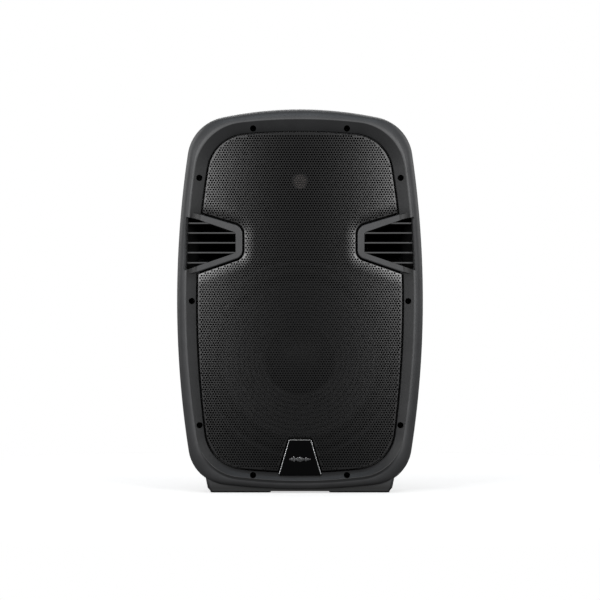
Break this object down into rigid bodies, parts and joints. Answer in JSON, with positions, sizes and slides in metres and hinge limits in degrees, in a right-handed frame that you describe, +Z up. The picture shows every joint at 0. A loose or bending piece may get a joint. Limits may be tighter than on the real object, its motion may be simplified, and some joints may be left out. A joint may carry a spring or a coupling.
{
  "type": "pa speaker cabinet",
  "caption": "Moulded two-way PA loudspeaker cabinet with a perforated front grille, side ports, carrying handles and a rear amplifier panel.",
  "frame": {"origin": "middle of the cabinet's plan, on the plane that the rubber feet stand on", "axes": "+Z up, -Y towards the listener through the grille, +X to the right seen from the front"},
  "size_m": [0.4366, 0.37, 0.68],
  "materials": {
    "cabinet_plastic": "textured black moulded plastic",
    "port_plastic": "satin black moulded plastic",
    "grille_steel": "black powder coat, satin",
    "badge_gloss": "gloss black with bright side edges",
    "screw_steel": "black oxide",
    "foot_rubber": "matt black",
    "basket_steel": "black paint",
    "cone_paper": "ribbed black paper pulp",
    "surround_rubber": "matt black",
    "spider_fabric": "resin-doped woven cotton",
    "coil_copper": "enamelled copper wire",
    "plate_steel": "zinc plate",
    "ferrite": "matt ferrite",
    "horn_plastic": "smooth satin black",
    "titanium": "bright foil",
    "cover_plastic": "satin black",
    "panel_steel": "black paint, fine texture",
    "heatsink_aluminium": "black anodised",
    "circuit_board": "green solder mask",
    "transformer_winding": "taped winding",
    "socket_plastic": "satin black",
    "latch_metal": "nickel plate",
    "rocker_plastic": "gloss black",
    "knob_plastic": "soft-touch black with a pale pointer line"
  },
  "bodies": {
    "cabinet": {"front_shell": "cabinet_plastic", "rear_shell": "cabinet_plastic", "port_frame_left": "cabinet_plastic", "port_frame_right": "cabinet_plastic", "top_handle": "cabinet_plastic", "side_handle_left": "cabinet_plastic", "side_handle_right": "cabinet_plastic", "port_louvre_left": "port_plastic", "port_louvre_right": "port_plastic", "port_duct_left": "port_plastic", "port_duct_right": "port_plastic", "pole_socket": "port_plastic", "grille": "grille_steel", "badge_plate": "badge_gloss", "shell_screw_01": "screw_steel", "shell_screw_02": "screw_steel", "shell_screw_03": "screw_steel", "shell_screw_04": "screw_steel", "shell_screw_05": "screw_steel", "shell_screw_06": "screw_steel", "shell_screw_07": "screw_steel", "shell_screw_08": "screw_steel", "shell_screw_09": "screw_steel", "shell_screw_10": "screw_steel", "foot_front_left": "foot_rubber", "foot_front_right": "foot_rubber", "foot_rear_left": "foot_rubber", "foot_rear_right": "foot_rubber", "woofer_basket": "basket_steel", "woofer_surround": "surround_rubber", "woofer_spider": "spider_fabric", "woofer_pole_plate": "plate_steel", "tweeter_pole_piece": "plate_steel", "woofer_magnet": "ferrite", "tweeter_magnet": "ferrite", "horn": "horn_plastic", "tweeter_rear_cover": "cover_plastic", "amp_panel": "panel_steel", "heatsink": "heatsink_aluminium", "amp_circuit_board": "circuit_board", "mains_transformer": "transformer_winding", "input_socket_1": "socket_plastic", "input_socket_2": "socket_plastic", "output_socket": "socket_plastic", "mains_inlet": "socket_plastic", "power_switch_frame": "socket_plastic"},
    "woofer_moving": {"woofer_cone": "cone_paper", "woofer_dust_cap": "cone_paper", "woofer_voice_coil": "coil_copper"},
    "tweeter_moving": {"tweeter_diaphragm": "titanium"},
    "power_rocker": {"power_rocker": "rocker_plastic"},
    "latch_tab_1": {"latch_tab_1": "latch_metal"},
    "latch_tab_2": {"latch_tab_2": "latch_metal"},
    "mode_slider": {"mode_slider": "socket_plastic"},
    "fuse_drawer": {"fuse_drawer": "socket_plastic"},
    "master_knob": {"master_knob": "knob_plastic"},
    "bass_knob": {"bass_knob": "knob_plastic"},
    "treble_knob": {"treble_knob": "knob_plastic"},
    "line_knob": {"line_knob": "knob_plastic"},
    "mic_knob": {"mic_knob": "knob_plastic"}
  },
  "joints": [
    {"name": "woofer_excursion", "type": "slide", "parent": "cabinet", "child": "woofer_moving", "axis": [0, -1, 0], "range_m": [-0.006, 0.006], "stiffness_N_per_m": 5800, "deforming": ["woofer_surround", "woofer_spider"]},
    {"name": "tweeter_excursion", "type": "slide", "parent": "cabinet", "child": "tweeter_moving", "axis": [0, -1, 0], "range_m": [-0.0004, 0.0004], "stiffness_N_per_m": 5000},
    {"name": "master_turn", "type": "hinge", "parent": "cabinet", "child": "master_knob", "pos_m": [-0.07, 0.177, 0.32], "axis": [0, -1, 0], "range_deg": [0, 300]},
    {"name": "bass_turn", "type": "hinge", "parent": "cabinet", "child": "bass_knob", "pos_m": [-0.035, 0.177, 0.32], "axis": [0, -1, 0], "range_deg": [-150, 150]},
    {"name": "treble_turn", "type": "hinge", "parent": "cabinet", "child": "treble_knob", "pos_m": [0, 0.177, 0.32], "axis": [0, -1, 0], "range_deg": [-150, 150]},
    {"name": "line_turn", "type": "hinge", "parent": "cabinet", "child": "line_knob", "pos_m": [0.035, 0.177, 0.32], "axis": [0, -1, 0], "range_deg": [0, 300]},
    {"name": "mic_turn", "type": "hinge", "parent": "cabinet", "child": "mic_knob", "pos_m": [0.07, 0.177, 0.32], "axis": [0, -1, 0], "range_deg": [0, 300]},
    {"name": "power_rock", "type": "hinge", "parent": "cabinet", "child": "power_rocker", "pos_m": [-0.05, 0.168, 0.18], "axis": [-1, 0, 0], "range_deg": [0, 22]},
    {"name": "latch_press_1", "type": "slide", "parent": "cabinet", "child": "latch_tab_1", "axis": [0, -1, 0], "range_m": [0, 0.002], "stiffness_N_per_m": 1500},
    {"name": "latch_press_2", "type": "slide", "parent": "cabinet", "child": "latch_tab_2", "axis": [0, -1, 0], "range_m": [0, 0.002], "stiffness_N_per_m": 1500},
    {"name": "mode_slide", "type": "slide", "parent": "cabinet", "child": "mode_slider", "axis": [1, 0, 0], "range_m": [0, 0.0035]},
    {"name": "fuse_drawer_slide", "type": "slide", "parent": "cabinet", "child": "fuse_drawer", "axis": [0, 1, 0], "range_m": [0, 0.022]}
  ]
}
